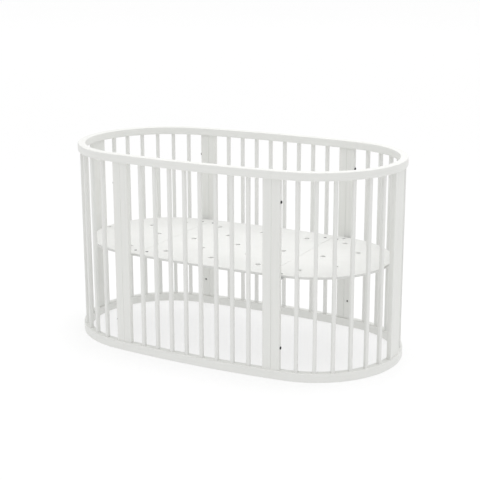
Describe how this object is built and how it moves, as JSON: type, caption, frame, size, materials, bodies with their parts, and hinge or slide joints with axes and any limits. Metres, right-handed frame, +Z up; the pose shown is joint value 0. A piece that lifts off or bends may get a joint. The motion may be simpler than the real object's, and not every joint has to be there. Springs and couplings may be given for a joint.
{
  "type": "baby crib",
  "caption": "Slatted wooden oval baby crib, bolted together from two curved end sections and two slightly bowed side sections, with a perforated lift-off mattress base at its highest level.",
  "frame": {"origin": "on the floor, under the centre of the crib", "axes": "+X along the crib towards its right end, +Y towards its back side, +Z up"},
  "size_m": [1.3598, 0.7298, 0.78],
  "materials": {
    "painted_rail": "satin white paint over solid beech",
    "painted_board": "satin white paint over solid beech",
    "painted_slat": "satin white paint over solid beech",
    "painted_panel": "matt white paint over fibreboard",
    "zinc_steel": "zinc plated, satin",
    "black_steel": "black oxide, satin",
    "insert_zinc": "plain die-cast zinc",
    "bare_wood": "plain beech"
  },
  "bodies": {
    "crib_frame": {"left_top_rail": "painted_rail", "right_top_rail": "painted_rail", "front_top_rail": "painted_rail", "back_top_rail": "painted_rail", "left_bottom_rail": "painted_rail", "right_bottom_rail": "painted_rail", "front_bottom_rail": "painted_rail", "back_bottom_rail": "painted_rail", "left_centre_board": "painted_board", "right_centre_board": "painted_board", "left_front_end_board": "painted_board", "left_back_end_board": "painted_board", "right_front_end_board": "painted_board", "right_back_end_board": "painted_board", "front_left_side_board": "painted_board", "front_right_side_board": "painted_board", "back_left_side_board": "painted_board", "back_right_side_board": "painted_board", "left_front_slats": "painted_slat", "left_back_slats": "painted_slat", "right_front_slats": "painted_slat", "right_back_slats": "painted_slat", "front_side_slats": "painted_slat", "back_side_slats": "painted_slat", "seam_brackets": "zinc_steel", "locating_pins": "zinc_steel", "bracket_bolts": "black_steel", "level_inserts": "insert_zinc", "section_bolts": "black_steel", "section_inserts": "insert_zinc", "rail_dowels": "bare_wood", "board_dowels": "bare_wood"},
    "mattress_base": {"left_base_panel": "painted_panel", "middle_base_panel": "painted_panel", "right_base_panel": "painted_panel", "base_joint_plates": "zinc_steel", "base_joint_screws": "black_steel"}
  },
  "joints": [
    {"name": "mattress_base_lift", "type": "slide", "parent": "crib_frame", "child": "mattress_base", "axis": [0, 0, 1], "range_m": [0, 0.46]}
  ]
}
